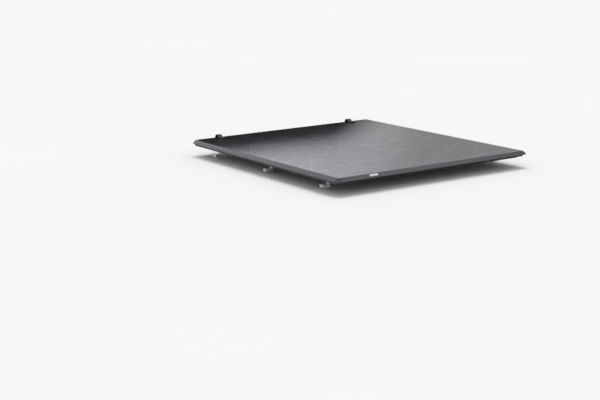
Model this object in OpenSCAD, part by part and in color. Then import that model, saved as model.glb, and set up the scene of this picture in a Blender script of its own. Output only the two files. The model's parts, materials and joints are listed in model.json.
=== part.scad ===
// Soft roll-up tonneau cover for a pickup bed.
// Millimetres. +X right, +Y forward to the cab, +Z up.
// The origin is the middle of the front header's seat, on the plane of the bed rails.

/* [Cover] */
// Width over the lower edges of the side hems
cover_w = 1738; // [1500:1:1900]
// Length from the front lip to the lower rear edge
cover_len = 1964; // [1500:1:2500]
// Height of the top face above the bed rails
cover_top = 46; // [44:0.5:60]
// Thickness of the vinyl
skin_t = 1.5; // [1:0.1:2.5]
// How far a side hem runs outward
hem_run = 24; // [20:0.5:40]
// How far the hems and the rear edge drop
hem_drop = 27.5; // [26:0.5:33]
// How far the rear edge runs rearward
rear_run = 16; // [10:0.5:30]
// Length of the front panel that stays flat
front_flat = 225; // [165:1:260]
// Drop of the lip over the header's front face
front_lip = 20; // [10:0.5:30]
// Flat length from the last fold line to the rear edge
rear_flat = 43; // [36:0.5:60]
// Gap between neighbouring strips at a fold line
strip_gap = 0.4; // [0.3:0.1:1]
// Gap at the seam where a hem is sewn to the top
seam_gap = 0.1; // [0.05:0.05:0.3]

/* [Side rails] */
// Distance from the cover's side crease to the rail's inner face
rail_inset = 59; // [56:0.5:80]
// Wall of the rail
rail_wall = 3; // [2:0.1:4]
// Width of the ledge that carries the bows
ledge_w = 28; // [20:0.5:34]
// Thickness of the channel's lips
lip_t = 4; // [3:0.1:5]
// Height of the channel's mouth
mouth_h = 10; // [9.4:0.1:12]
// Height of the channel inside
channel_h = 22; // [20:0.5:23]
// Depth of the channel behind its lips
channel_d = 28; // [24:0.5:32]
// How far the foot stands in under the slope
foot_in = 10; // [6:0.5:16]
// Thickness of the seal under the rail
seal_t = 3; // [2:0.1:4]
// Margin at each side of that seal
seal_margin = 4; // [1:0.5:8]
// Thickness of the hook strip on the slope
hook_t = 1.5; // [1:0.1:2.5]
// Margin above and below the hook strip
hook_margin = 2; // [1:0.5:6]
// Clearance between the cover and what it rests on
rest_gap = 0.4; // [0.3:0.1:1]
// Distance from the front lip to the rail's front end
rail_front_gap = 14.5; // [13:0.5:24]
// Distance from the rear crease to the rail's rear end
rail_rear_gap = 19.5; // [18:0.5:26]
// Thickness of the end plugs
plug_t = 4; // [3:0.5:5]

/* [Bows] */
// Width of a bow
bow_w = 38; // [30:0.5:48]
// Depth of a bow
bow_h = 12; // [10:0.5:13]
// Height of a bow's upright sides
bow_side = 5.5; // [3:0.5:7]
// Slope at each side of a bow's underside
bow_bevel = 6; // [3:0.5:9]
// Wall of a bow
bow_wall = 1.8; // [1.2:0.1:2.5]
// Clearance at a bow's ends
bow_end_gap = 2; // [1:0.5:4]

/* [Header] */
// Depth of the header tube, front to rear
header_d = 48; // [40:0.5:56]
// Wall of the header tube
header_wall = 2.5; // [2:0.1:4]
// Height of the header's seal
header_seal_h = 10; // [6:0.5:12]
// Width of the header's seal
header_seal_w = 26; // [16:0.5:28]
// Thickness of the corner bracket's plate
bracket_t = 14; // [10:0.5:18]
// Length of the bracket's plug in the tube
bracket_plug = 35; // [28:0.5:50]
// Clearance between the header and the rails' inner faces
side_gap = 2; // [1:0.5:4]
// Clearance of the bracket's tongue in the channel
tongue_gap = 0.6; // [0.4:0.1:1]
// Length of the tongue
tongue_len = 24; // [16:0.5:30]
// Travel of the header each way
header_travel = 6; // [3:0.5:7]

/* [Tension screws] */
// Diameter of the screw
screw_d = 8; // [6:0.5:9]
// Running clearance round the screw
screw_gap = 0.1; // [0.02:0.01:0.1]
// Distance from the rail's inner face to the screw
screw_in = 18; // [17:0.5:24]
// Distance from the header's tube to the block on the rail
block_back = 51; // [40:0.5:60]
// Length of that block
block_len = 30; // [20:0.5:40]
// Diameter of the knob
knob_d = 32; // [26:0.5:32]
// Thickness of the knob
knob_t = 14; // [10:0.5:18]
// Distance from the block to the knob
knob_gap = 9; // [8:0.5:14]

/* [Storage straps] */
// Distance of each strap from the middle
strap_x = 640; // [300:1:740]
// Width of the webbing
strap_w = 38; // [25:0.5:50]
// Thickness of the webbing
strap_t = 2; // [1.2:0.1:2.5]
// Outer radius of the loop over the front edge
strap_loop_r = 26; // [16:0.5:28]
// Length of the tail that lies on the cover
strap_tail = 44; // [30:0.5:48]
// Height of the strap's lower end
strap_foot_z = 22; // [18:0.5:30]
// Width of the buckle
buckle_w = 48; // [44:0.5:60]
// Length of the buckle
buckle_len = 36; // [28:0.5:40]
// Height of the buckle
buckle_h = 9; // [7:0.5:11]
// Width of the buckle's window
buckle_window_w = 16; // [10:0.5:30]
// Length of the buckle's window
buckle_window_len = 12; // [8:0.5:20]

/* [Rear rail] */
// Wall of the rear rail
rear_wall = 2.5; // [2:0.1:4]
// Thickness of the flange that hangs at the rail's front face
rear_flange_t = 2.5; // [2:0.1:4]
// How far that flange reaches below the latch's lowest screws
rear_flange_low = 4; // [3.5:0.5:5]
// Distance from the last fold line to the rail's front face
rear_front_gap = 2; // [1:0.5:4]
// Clearance between the sheet and the rear rail inside it
rear_fit = 0.1; // [0.05:0.05:0.5]
// Thickness of the end caps' plates
cap_t = 2; // [1.5:0.1:4]
// Distance from the rear edge to the middle of the tailgate seal
tail_seal_in = 25; // [20:0.5:34]
// Radius of the seal's bulb
tail_bulb_r = 5.75; // [4.5:0.25:6.5]
// Wall of the bulb
tail_bulb_wall = 1.8; // [1.2:0.1:2.4]
// Width of the seal's flange
tail_flange_w = 16; // [13:0.5:20]
// Thickness of the seal's flange
tail_flange_t = 2; // [1.5:0.1:2.4]

/* [Latch] */
// Diameter of the bolts
bolt_d = 8; // [6:0.5:8]
// Running clearance of the bolts in their guides
bolt_gap = 0.1; // [0.02:0.01:0.1]
// Length of a bolt
bolt_len = 48; // [44:0.5:60]
// Depth of the slot that takes the rod
bolt_slot = 15; // [10:0.5:16]
// Radius of the cam's pin circle
pin_r = 12; // [11:0.5:13]
// Diameter of the cam's pins
pin_d = 5; // [4:0.5:5.5]
// Turn of the handle from open to locked, degrees
latch_turn = 70; // [60:1:76]
// Diameter of the cam
cam_d = 36; // [32:0.5:38]
// Thickness of the cam
cam_t = 4; // [3:0.5:5]
// Diameter of the cam's sleeve
sleeve_d = 14; // [12:0.5:14]
// Diameter of the pivot post
post_d = 8; // [6:0.5:9]
// Running clearance on the pivot post
post_gap = 0.1; // [0.02:0.01:0.1]
// Thickness of the rods
rod_t = 3; // [2:0.1:3.5]
// Height of the rods
rod_h = 6; // [4:0.5:6]
// Thickness of the latch plate
plate_t = 3; // [2:0.5:4]
// Width of the latch plate
plate_w = 72; // [68:0.5:90]
// Height of the latch plate
plate_h = 36; // [34:0.5:40]
// Length of the handle's bar
handle_len = 36; // [30:0.5:40]
// Thickness of the handle's bar
handle_w = 12; // [9:0.5:15]
// Depth of the handle
handle_t = 10; // [8:0.5:12]
// Length of a bolt guide
guide_len = 34; // [26:0.5:36]
// Diameter of the small screws' shanks
small_screw_d = 4; // [3:0.1:4.4]

/* [Clamps] */
// Distance from the rail's ends to the first and last clamp
clamp_end = 230; // [150:1:400]
// Length of a clamp along the rail
clamp_w = 40; // [28:0.5:60]
// Distance from the rail's inner face to the clamp bolt
clamp_bolt_in = 18; // [16:0.5:26]
// Diameter of the clamp bolt
clamp_bolt_d = 8; // [6:0.5:10]
// Length of the clamp bolt below its head
clamp_bolt_len = 100; // [96:1:130]
// Thickness of the bracket's arm
clamp_arm_t = 8; // [6:0.5:9]
// Thickness of the bracket's guide leg
clamp_leg_t = 5; // [3:0.5:8]
// Depth of the guide leg below the bed rails
clamp_leg_drop = 66; // [60:0.5:80]
// Depth of the bed flange that the clamp holds at rest
grip = 42; // [38:0.5:46]
// Height of the jaw's pad
pad_h = 8; // [5:0.5:12]
// Width of the jaw's pad
pad_w = 16; // [10:0.5:22]
// Distance from the rail's inner face to the pad
pad_out = 10; // [6:0.5:16]
// Thickness of the jaw's arm
jaw_t = 12; // [8:0.5:14]
// Width of the jaw's boss
jaw_boss_w = 22; // [20:0.5:26]
// Height of the jaw's boss
jaw_boss_h = 16; // [14:0.5:20]

/* [Hidden] */
$fn = 64;

// Colours
vinyl = [0.10, 0.10, 0.11];
coated = [0.06, 0.06, 0.065];
mill = [0.62, 0.63, 0.65];
moulded = [0.05, 0.05, 0.05];
zinc = [0.70, 0.70, 0.72];
sponge = [0.09, 0.09, 0.09];
webbing = [0.08, 0.08, 0.085];

// How far a cutting tool stands past the face it cuts
over = 1;
// Clearance of a screw or bolt in a plain hole, at the radius
hole_gap = 0.2;

// The cover
strip_count = 16;
bow_every = 3;
half_w = cover_w / 2;
crease_x = half_w - hem_run;
under_z = cover_top - skin_t;
hem_z = cover_top - hem_drop;
front_y = header_d / 2 + skin_t;
first_fold_y = front_y - front_flat;
rear_y = front_y - cover_len;
rear_crease_y = rear_y + rear_run;
last_fold_y = rear_crease_y + rear_flat;
strip_len = (first_fold_y - last_fold_y) / strip_count;
hem_slant = sqrt(hem_run * hem_run + hem_drop * hem_drop);
rear_slant = sqrt(rear_run * rear_run + hem_drop * hem_drop);

// Where the hem's slope stands at a height, a depth in from its outer face
function hem_x(z, depth) = crease_x + (cover_top - z) * hem_run / hem_drop - depth * hem_slant / hem_drop;
// The same for the rear slope
function rear_face_y(z, depth) =
  rear_crease_y - (cover_top - z) * rear_run / hem_drop + depth * rear_slant / hem_drop;
function fold_y(i) = first_fold_y - i * strip_len;
function strip_mid_y(i) = (fold_y(i - 1) + fold_y(i)) / 2;
// Where the rear corner's mitre stands, seen from above
function mitre_x(y) = crease_x + (rear_crease_y - y) * hem_run / rear_run;

// The side rails
rail_depth = skin_t + rest_gap + hook_t;
rail_in_x = crease_x - rail_inset;
rail_top_z = under_z - rest_gap;
ledge_z = under_z - bow_h - rest_gap;
step_x = rail_in_x + ledge_w;
foot_x = hem_x(hem_z, rail_depth) - foot_in;
rail_front_y = front_y - rail_front_gap;
rail_rear_y = rear_crease_y + rail_rear_gap;
rail_len = rail_front_y - rail_rear_y;
channel_z = seal_t + rail_wall;
channel_top_z = channel_z + channel_h;
mouth_z = channel_z + channel_h / 2;
mouth_low_z = mouth_z - mouth_h / 2;
lip_x = rail_in_x + lip_t;
channel_x = lip_x + channel_d;
chamber_x = channel_x + rail_wall;

// The header and its brackets
header_half = rail_in_x - side_gap - bracket_t;
bracket_x = rail_in_x - side_gap;
bracket_low = 3;
bracket_top_gap = 4;
lug_len = 19;
lug_half = 8;
lug_floor = 4;
lug_y = -header_d / 2 - side_gap;
lug_back_y = lug_y - lug_len;
screw_x = rail_in_x - screw_in;
block_y = -header_d / 2 - block_back;
block_half = 9;
knob_y = block_y - block_len - knob_gap;
knob_lobes = 8;
knob_scallop = 3;
knob_floor = 4;
header_screw_d = 4;
header_screw_head_d = 7;
header_screw_head_h = 3;
header_screw_len = 16;
header_screw_y = -(header_d + header_seal_w) / 4;
header_screw_in = [10, 24];

// The rear rail and the latch
rear_front_y = last_fold_y - rear_front_gap;
rear_half = rail_in_x - side_gap - cap_t;
cap_room = 1.5;
cap_front_y = rail_rear_y - plug_t - header_travel - cap_room;
tail_seal_y = rear_y + tail_seal_in;
tail_neck_w = 6;
plate_y = rear_front_y + plate_t;
stack_gap = 0.3;
cam_y = plate_y + stack_gap + cam_t;
rod_gap = 0.5;
rod_y = cam_y + rod_gap;
sleeve_y = rod_y + rod_t + 2 * rod_gap + rod_t;
handle_y = sleeve_y + handle_t;
rod_mid_y = rod_y + rod_t / 2;
fork_gap = 0.4;
prong = 4;
fork_half = pin_d / 2 + fork_gap + prong;
fork_low = sleeve_d / 2 + rod_gap;
fork_top = pin_r + pin_d / 2 + rod_gap;
rod_lap = 2;
rod_start_x = plate_w / 2 - rod_lap;
pin_shift = pin_r * sin(latch_turn / 2);
bolt_tip_x = rail_in_x - side_gap - cap_t / 2;
bolt_start_x = bolt_tip_x - bolt_len;
bolt_chamfer = 2;
bolt_show = 4;
guide_x = bolt_tip_x - guide_len - bolt_show;
guide_half = 13;
guide_wall = 6;
guide_front_y = rod_mid_y + bolt_d / 2 + guide_wall;
rod_guide_x = rear_half / 2;
rod_guide_len = 16;
small_head_d = 7;
small_head_h = 3;
small_bite = 4;
guide_screw_z = 9.5;
plate_screw_x = 28;
plate_screw_z = 13;

// The clamps
clamp_count = 3;
clamp_pitch = (rail_len - 2 * clamp_end) / (clamp_count - 1);
clamp_x = rail_in_x - clamp_bolt_in;
clamp_arm_z = mouth_low_z + clamp_arm_t;
clamp_fit = 0.3;
clamp_back_gap = 2;
leg_x = clamp_x - jaw_boss_w / 2 - clamp_fit;
clamp_head_h = 6;
clamp_head_d = 15;
pad_x = rail_in_x + pad_out;
pad_end_x = pad_x + pad_w;
pad_z = -grip;
jaw_arm_z = pad_z - pad_h;
jaw_low_z = jaw_arm_z - jaw_t;
function clamp_y(i) = rail_front_y - clamp_end - i * clamp_pitch;

// Shapes that repeat

// A section drawn in X and Z, run rearward from a front end
module run(front, length) {
  translate([0, front, 0])
    rotate([90, 0, 0])
      linear_extrude(length)
        children();
}

// A section drawn in Y and Z, run to the right from a left end
module span(left, length) {
  translate([left, 0, 0])
    rotate([90, 0, 90])
      linear_extrude(length)
        children();
}

// The right piece as it is, or its mirror image on the left
module on_side(side) {
  if (side > 0) children();
  else mirror([1, 0, 0]) children();
}

module on_both_sides() {
  children();
  mirror([1, 0, 0]) children();
}

// A round bar along Y, from its rear end
module bar_y(rear, length, diameter) {
  translate([0, rear, 0])
    rotate([-90, 0, 0])
      cylinder(h = length, d = diameter);
}

// A rectangle between two corners
module patch(low, high) {
  translate(low) square([high[0] - low[0], high[1] - low[1]]);
}

// A box between two corners
module block(low, high) {
  translate(low) cube([high[0] - low[0], high[1] - low[1], high[2] - low[2]]);
}

// The top panel's section
module panel_section() {
  top_x = crease_x - seam_gap / 2;
  low_x = hem_x(under_z, skin_t) - seam_gap / 2;
  polygon([[top_x, cover_top], [-top_x, cover_top], [-low_x, under_z], [low_x, under_z]]);
}

// The right hem's section
module hem_section() {
  top_x = crease_x + seam_gap / 2;
  low_x = hem_x(under_z, skin_t) + seam_gap / 2;
  polygon([[top_x, cover_top], [half_w, hem_z], [hem_x(hem_z, skin_t), hem_z], [low_x, under_z]]);
}

// The sheet's section: a top panel with a hem sewn on at each side
module cover_section() {
  panel_section();
  hem_section();
  mirror([1, 0]) hem_section();
}

// The space under a sheet of some depth, as a section
module under_section(depth, low) {
  top = cover_top - depth;
  polygon([
    [hem_x(low, depth), low], [hem_x(top, depth), top], [-hem_x(top, depth), top], [-hem_x(low, depth), low]
  ]);
}

// The same from the side, rearward of a front end
module rear_section(front, depth, low) {
  top = cover_top - depth;
  polygon([[front, low], [front, top], [rear_face_y(top, depth), top], [rear_face_y(low, depth), low]]);
}

// Side rails

module rail_outline() {
  polygon([
    [rail_in_x, seal_t], [foot_x, seal_t], [foot_x, hem_z], [hem_x(hem_z, rail_depth), hem_z],
    [hem_x(rail_top_z, rail_depth), rail_top_z], [step_x, rail_top_z], [step_x, ledge_z], [rail_in_x, ledge_z]
  ]);
}

module rail_section() {
  inner = rail_depth + rail_wall;
  low = hem_z + rail_wall;
  high = rail_top_z - rail_wall;
  difference() {
    rail_outline();
    patch([rail_in_x - over, mouth_low_z], [lip_x + over, mouth_low_z + mouth_h]);
    patch([lip_x, channel_z], [channel_x, channel_top_z]);
    polygon([
      [chamber_x, channel_z], [foot_x - rail_wall, channel_z], [foot_x - rail_wall, low],
      [hem_x(low, inner), low], [hem_x(high, inner), high], [chamber_x, high]
    ]);
  }
}

module side_rail(side) {
  color(coated)
    on_side(side)
      run(rail_front_y, rail_len) rail_section();
}

module hook_strip(side) {
  low = hem_z + hook_margin;
  high = rail_top_z - hook_margin;
  near = skin_t + rest_gap;
  color(moulded)
    on_side(side)
      run(rail_front_y, rail_len)
        polygon([
          [hem_x(low, near), low], [hem_x(high, near), high],
          [hem_x(high, rail_depth), high], [hem_x(low, rail_depth), low]
        ]);
}

module rail_seal(side) {
  color(sponge)
    on_side(side)
      run(rail_front_y, rail_len)
        patch([rail_in_x + seal_margin, 0], [foot_x - seal_margin, seal_t]);
}

module left_side_rail() { side_rail(-1); }
module right_side_rail() { side_rail(1); }
module left_hook_strip() { hook_strip(-1); }
module right_hook_strip() { hook_strip(1); }
module left_rail_seal() { rail_seal(-1); }
module right_rail_seal() { rail_seal(1); }

module rail_end_plugs() {
  color(moulded)
    on_both_sides() {
      run(rail_front_y + plug_t, plug_t) rail_outline();
      run(rail_rear_y, plug_t) rail_outline();
    }
}

// The foot that a block has in the rail's channel
module channel_foot() {
  patch([lip_x, channel_z], [channel_x - clamp_back_gap, channel_top_z - clamp_fit]);
}

// Clamps

module clamp_bracket_section() {
  channel_foot();
  patch([leg_x - clamp_leg_t, mouth_low_z], [lip_x, clamp_arm_z]);
  patch([leg_x - clamp_leg_t, -clamp_leg_drop], [leg_x, clamp_arm_z]);
}

module clamp_brackets() {
  color(mill)
    on_both_sides()
      for (i = [0 : clamp_count - 1])
        difference() {
          run(clamp_y(i) + clamp_w / 2, clamp_w) clamp_bracket_section();
          translate([clamp_x, clamp_y(i), mouth_low_z - over])
            cylinder(h = clamp_arm_t + 2 * over, d = clamp_bolt_d + 2 * hole_gap);
        }
}

module clamp_bolts() {
  color(zinc)
    on_both_sides()
      for (i = [0 : clamp_count - 1])
        translate([clamp_x, clamp_y(i), clamp_arm_z]) {
          cylinder(h = clamp_head_h, d = clamp_head_d, $fn = 6);
          translate([0, 0, -clamp_bolt_len]) cylinder(h = clamp_bolt_len, d = clamp_bolt_d);
        }
}

module jaw_section() {
  patch([clamp_x - jaw_boss_w / 2, jaw_low_z], [clamp_x + jaw_boss_w / 2, jaw_low_z + jaw_boss_h]);
  patch([clamp_x, jaw_low_z], [pad_end_x, jaw_arm_z]);
  patch([pad_x, jaw_low_z], [pad_end_x, pad_z]);
}

module clamp_jaw(side, i) {
  color(mill)
    on_side(side)
      difference() {
        run(clamp_y(i) + clamp_w / 2, clamp_w) jaw_section();
        translate([clamp_x, clamp_y(i), jaw_low_z - over])
          cylinder(h = jaw_boss_h + 2 * over, d = clamp_bolt_d + 2 * hole_gap);
      }
}

module left_front_jaw() { clamp_jaw(-1, 0); }
module left_middle_jaw() { clamp_jaw(-1, 1); }
module left_rear_jaw() { clamp_jaw(-1, 2); }
module right_front_jaw() { clamp_jaw(1, 0); }
module right_middle_jaw() { clamp_jaw(1, 1); }
module right_rear_jaw() { clamp_jaw(1, 2); }

// Header

module header_outline(inset) {
  patch([-header_d / 2 + inset, header_seal_h + inset], [header_d / 2 - inset, under_z - inset]);
}

// The places of the screws that hold the brackets, on the right
module at_header_screws() {
  for (inward = header_screw_in)
    translate([header_half - inward, header_screw_y, header_seal_h]) children();
}

module header() {
  color(coated)
    difference() {
      span(-header_half, 2 * header_half)
        difference() {
          header_outline(0);
          header_outline(header_wall);
        }
      on_both_sides()
        at_header_screws()
          translate([0, 0, -over])
            cylinder(h = header_wall + 2 * over, d = header_screw_d + 2 * hole_gap);
    }
}

module header_bracket() {
  tongue_front_y = rail_front_y - header_travel - plug_t;
  difference() {
    union() {
      block(
        [header_half, lug_back_y, header_seal_h + bracket_low],
        [bracket_x, header_d / 2 - header_wall, under_z - bracket_top_gap]
      );
      block([screw_x - lug_half, lug_back_y, mouth_z - lug_half], [bracket_x, lug_y, mouth_z + lug_half]);
      span(header_half - bracket_plug, bracket_plug + over) header_outline(header_wall + hole_gap);
      run(tongue_front_y, tongue_len) {
        patch(
          [bracket_x - over, mouth_low_z + tongue_gap],
          [lip_x + 2 * tongue_gap, mouth_low_z + mouth_h - tongue_gap]
        );
        patch(
          [lip_x + tongue_gap, channel_z + tongue_gap],
          [channel_x - tongue_gap, channel_top_z - tongue_gap]
        );
      }
    }
    translate([screw_x, 0, mouth_z])
      bar_y(lug_back_y - over, lug_len - lug_floor + over, screw_d + 2 * screw_gap);
    at_header_screws()
      cylinder(h = header_screw_len, d = header_screw_d + 2 * hole_gap);
  }
}

module header_brackets() {
  color(mill)
    on_both_sides() header_bracket();
}

module header_seal() {
  color(sponge)
    span(-header_half, 2 * header_half)
      patch([-header_seal_w / 2, 0], [header_seal_w / 2, header_seal_h]);
}

module header_screws() {
  color(zinc)
    on_both_sides()
      at_header_screws() {
        translate([0, 0, -header_screw_head_h]) cylinder(h = header_screw_head_h, d = header_screw_head_d);
        cylinder(h = header_screw_len, d = header_screw_d);
      }
}

// Tension screws

module tension_blocks() {
  color(mill)
    on_both_sides()
      difference() {
        run(block_y, block_len) {
          channel_foot();
          patch([bracket_x - over, mouth_low_z], [lip_x, mouth_low_z + mouth_h - clamp_fit]);
          patch([screw_x - block_half, mouth_z - block_half], [bracket_x, mouth_z + block_half]);
        }
        translate([screw_x, 0, mouth_z])
          bar_y(block_y - block_len - over, block_len + 2 * over, screw_d + 2 * screw_gap);
      }
}

module tension_screw(side) {
  tip_y = lug_y - lug_floor;
  rear = knob_y - knob_t + knob_floor;
  color(zinc)
    on_side(side)
      translate([screw_x, 0, mouth_z])
        bar_y(rear, tip_y - rear, screw_d);
}

module tension_knob(side) {
  color(moulded)
    on_side(side)
      translate([screw_x, 0, mouth_z])
        difference() {
          bar_y(knob_y - knob_t, knob_t, knob_d);
          bar_y(knob_y - knob_t + knob_floor, knob_t, screw_d + 2 * screw_gap);
          for (i = [0 : knob_lobes - 1])
            rotate([0, i * 360 / knob_lobes, 0])
              translate([knob_d / 2 + knob_scallop / 2, 0, 0])
                bar_y(knob_y - knob_t - over, knob_t + 2 * over, 2 * knob_scallop);
        }
}

module left_tension_screw() { tension_screw(-1); }
module right_tension_screw() { tension_screw(1); }
module left_tension_knob() { tension_knob(-1); }
module right_tension_knob() { tension_knob(1); }

// Cover

module front_cover() {
  color(vinyl) {
    run(front_y - skin_t, front_flat - skin_t - strip_gap / 2) cover_section();
    block([-crease_x, front_y - skin_t, cover_top - front_lip], [crease_x, front_y, cover_top]);
  }
}

module cover_strip(i) {
  color(vinyl)
    run(fold_y(i - 1) - strip_gap / 2, strip_len - strip_gap) cover_section();
}

module cover_strip_01() { cover_strip(1); }
module cover_strip_02() { cover_strip(2); }
module cover_strip_03() { cover_strip(3); }
module cover_strip_04() { cover_strip(4); }
module cover_strip_05() { cover_strip(5); }
module cover_strip_06() { cover_strip(6); }
module cover_strip_07() { cover_strip(7); }
module cover_strip_08() { cover_strip(8); }
module cover_strip_09() { cover_strip(9); }
module cover_strip_10() { cover_strip(10); }
module cover_strip_11() { cover_strip(11); }
module cover_strip_12() { cover_strip(12); }
module cover_strip_13() { cover_strip(13); }
module cover_strip_14() { cover_strip(14); }
module cover_strip_15() { cover_strip(15); }
module cover_strip_16() { cover_strip(16); }

// The rear end of the top panel
module rear_panel(front) {
  intersection() {
    run(front, front - rear_y) panel_section();
    span(-half_w, cover_w)
      polygon([
        [front, under_z], [front, cover_top], [rear_crease_y + seam_gap / 2, cover_top],
        [rear_face_y(under_z, skin_t) + seam_gap / 2, under_z]
      ]);
  }
}

// The band down the rear edge, mitred at both corners
module rear_band() {
  near = rear_crease_y + rear_run;
  far = rear_y - over;
  near_x = mitre_x(near) - seam_gap / 2;
  far_x = mitre_x(far) - seam_gap / 2;
  intersection() {
    span(-half_w, cover_w)
      polygon([
        [rear_crease_y - seam_gap / 2, cover_top], [rear_y, hem_z], [rear_face_y(hem_z, skin_t), hem_z],
        [rear_face_y(under_z, skin_t) - seam_gap / 2, under_z]
      ]);
    linear_extrude(cover_top + over)
      polygon([[-near_x, near], [near_x, near], [far_x, far], [-far_x, far]]);
  }
}

// The right hem's rear end, mitred against the band
module rear_hem(front) {
  near = rear_crease_y + rear_run;
  far = rear_y - over;
  near_x = mitre_x(near) + seam_gap / 2;
  far_x = mitre_x(far) + seam_gap / 2;
  intersection() {
    run(front, front - rear_y) hem_section();
    linear_extrude(cover_top + over)
      polygon([[near_x, front + over], [far_x, front + over], [far_x, far], [near_x, near]]);
  }
}

module rear_cover() {
  front = last_fold_y - strip_gap / 2;
  color(vinyl) {
    rear_panel(front);
    rear_band();
    on_both_sides() rear_hem(front);
  }
}

// Bows

module bow_outline(inset) {
  low = under_z - bow_h + inset;
  top = under_z - inset;
  wide = bow_w / 2 - inset;
  bevel_z = top - bow_side;
  polygon([
    [-wide, top], [wide, top], [wide, bevel_z], [wide - bow_bevel, low], [-wide + bow_bevel, low], [-wide, bevel_z]
  ]);
}

// Each bow lies under the middle of every third strip
module bow(n) {
  half = step_x - bow_end_gap;
  color(mill)
    translate([0, strip_mid_y(n * bow_every), 0])
      span(-half, 2 * half)
        difference() {
          bow_outline(0);
          bow_outline(bow_wall);
        }
}

module bow_1() { bow(1); }
module bow_2() { bow(2); }
module bow_3() { bow(3); }
module bow_4() { bow(4); }

// Storage straps

module strap_section() {
  middle_y = front_y + strap_t - strap_loop_r;
  tail_y = middle_y - strap_loop_r;
  patch([front_y, strap_foot_z], [front_y + strap_t, cover_top]);
  patch([tail_y - strap_tail, cover_top], [tail_y + strap_t, cover_top + strap_t]);
  intersection() {
    translate([middle_y, cover_top])
      difference() {
        circle(r = strap_loop_r);
        circle(r = strap_loop_r - strap_t);
      }
    patch([tail_y - over, cover_top], [front_y + strap_loop_r, cover_top + strap_loop_r + over]);
  }
}

module storage_straps() {
  color(webbing)
    on_both_sides()
      span(strap_x - strap_w / 2, strap_w) strap_section();
}

module strap_buckles() {
  fit = rest_gap;
  end_y = front_y + strap_t - 2 * strap_loop_r - strap_tail;
  window_y = (buckle_len - buckle_window_len) / 2;
  color(moulded)
    on_both_sides()
      translate([strap_x, end_y - fit, cover_top])
        difference() {
          block([-buckle_w / 2, 0, 0], [buckle_w / 2, buckle_len, buckle_h]);
          block([-strap_w / 2 - fit, -over, -over], [strap_w / 2 + fit, buckle_len + over, strap_t + fit]);
          block(
            [-buckle_window_w / 2, window_y, strap_t],
            [buckle_window_w / 2, window_y + buckle_window_len, buckle_h + over]
          );
        }
}

// Rear rail

module rear_outline(inset) {
  front = rear_front_y - inset;
  depth = skin_t + rear_fit + inset;
  rear_section(front, depth, hem_z + inset);
}

// The places of the small screws on the rear rail, each at the face under its head
module at_rear_screws() {
  for (side = [-1, 1], up = [-1, 1]) {
    translate([side * plate_screw_x, plate_y, mouth_z + up * plate_screw_z]) children();
    translate([side * (guide_x + guide_len / 2), guide_front_y, mouth_z + up * guide_screw_z]) children();
  }
}

// The hole that such a screw needs, through what it holds
module rear_screw_hole() {
  reach = guide_front_y - rear_front_y + small_bite + over;
  rotate([90, 0, 0])
    translate([0, 0, -over])
      cylinder(h = reach + over, d = small_screw_d + 2 * hole_gap);
}

// A closed tube, with a flange at its front for the latch's lower screws
module rear_rail() {
  flange_z = mouth_z - plate_screw_z - rear_flange_low;
  color(coated)
    difference() {
      span(-rear_half, 2 * rear_half) {
        difference() {
          rear_outline(0);
          rear_outline(rear_wall);
        }
        patch([rear_front_y - rear_flange_t, flange_z], [rear_front_y, hem_z + rear_wall]);
      }
      at_rear_screws() rear_screw_hole();
    }
}

module rear_end_caps() {
  color(moulded)
    on_both_sides() {
      span(rear_half, cap_t) rear_outline(0);
      intersection() {
        run(cap_front_y, cap_front_y - rear_y) under_section(skin_t + rear_fit, hem_z);
        span(rear_half, half_w - rear_half) rear_section(cap_front_y, skin_t + rear_fit, hem_z);
      }
    }
}

module tailgate_seal() {
  color(sponge)
    span(-rear_half, 2 * rear_half)
      translate([tail_seal_y, 0]) {
        difference() {
          union() {
            translate([0, tail_bulb_r]) circle(r = tail_bulb_r);
            patch([-tail_neck_w / 2, tail_bulb_r], [tail_neck_w / 2, hem_z]);
          }
          translate([0, tail_bulb_r]) circle(r = tail_bulb_r - tail_bulb_wall);
        }
        patch([-tail_flange_w / 2, hem_z - tail_flange_t], [tail_flange_w / 2, hem_z]);
      }
}

module rear_screws() {
  color(zinc)
    at_rear_screws() {
      rotate([-90, 0, 0]) cylinder(h = small_head_h, d = small_head_d);
    }
  color(zinc)
    for (side = [-1, 1], up = [-1, 1]) {
      translate([side * plate_screw_x, 0, mouth_z + up * plate_screw_z])
        bar_y(rear_front_y - small_bite, plate_y - rear_front_y + small_bite, small_screw_d);
      translate([side * (guide_x + guide_len / 2), 0, mouth_z + up * guide_screw_z])
        bar_y(rear_front_y - small_bite, guide_front_y - rear_front_y + small_bite, small_screw_d);
    }
}

// Latch

module latch_plate() {
  color(zinc)
    difference() {
      union() {
        block([-plate_w / 2, rear_front_y, mouth_z - plate_h / 2], [plate_w / 2, plate_y, mouth_z + plate_h / 2]);
        translate([0, 0, mouth_z]) bar_y(rear_front_y, handle_y + over - rear_front_y, post_d);
      }
      at_rear_screws() rear_screw_hole();
    }
}

module latch_cam() {
  back = cam_y - cam_t;
  color(zinc)
    translate([0, 0, mouth_z]) {
      difference() {
        union() {
          bar_y(back, cam_t, cam_d);
          bar_y(back, sleeve_y - back, sleeve_d);
        }
        bar_y(back - over, sleeve_y - back + 2 * over, post_d + 2 * post_gap);
      }
      for (half = [0, 180])
        rotate([0, half - latch_turn / 2, 0])
          translate([0, 0, pin_r])
            bar_y(cam_y - over, rod_t + 2 * rod_gap + over, pin_d);
    }
}

module latch_handle() {
  color(moulded)
    translate([0, 0, mouth_z])
      difference() {
        union() {
          bar_y(sleeve_y, handle_t, 2 * handle_w);
          block([-handle_len / 2, sleeve_y, -handle_w / 2], [handle_len / 2, handle_y, handle_w / 2]);
        }
        bar_y(sleeve_y - over, handle_t + 2 * over, post_d + 2 * post_gap);
      }
}

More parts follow.
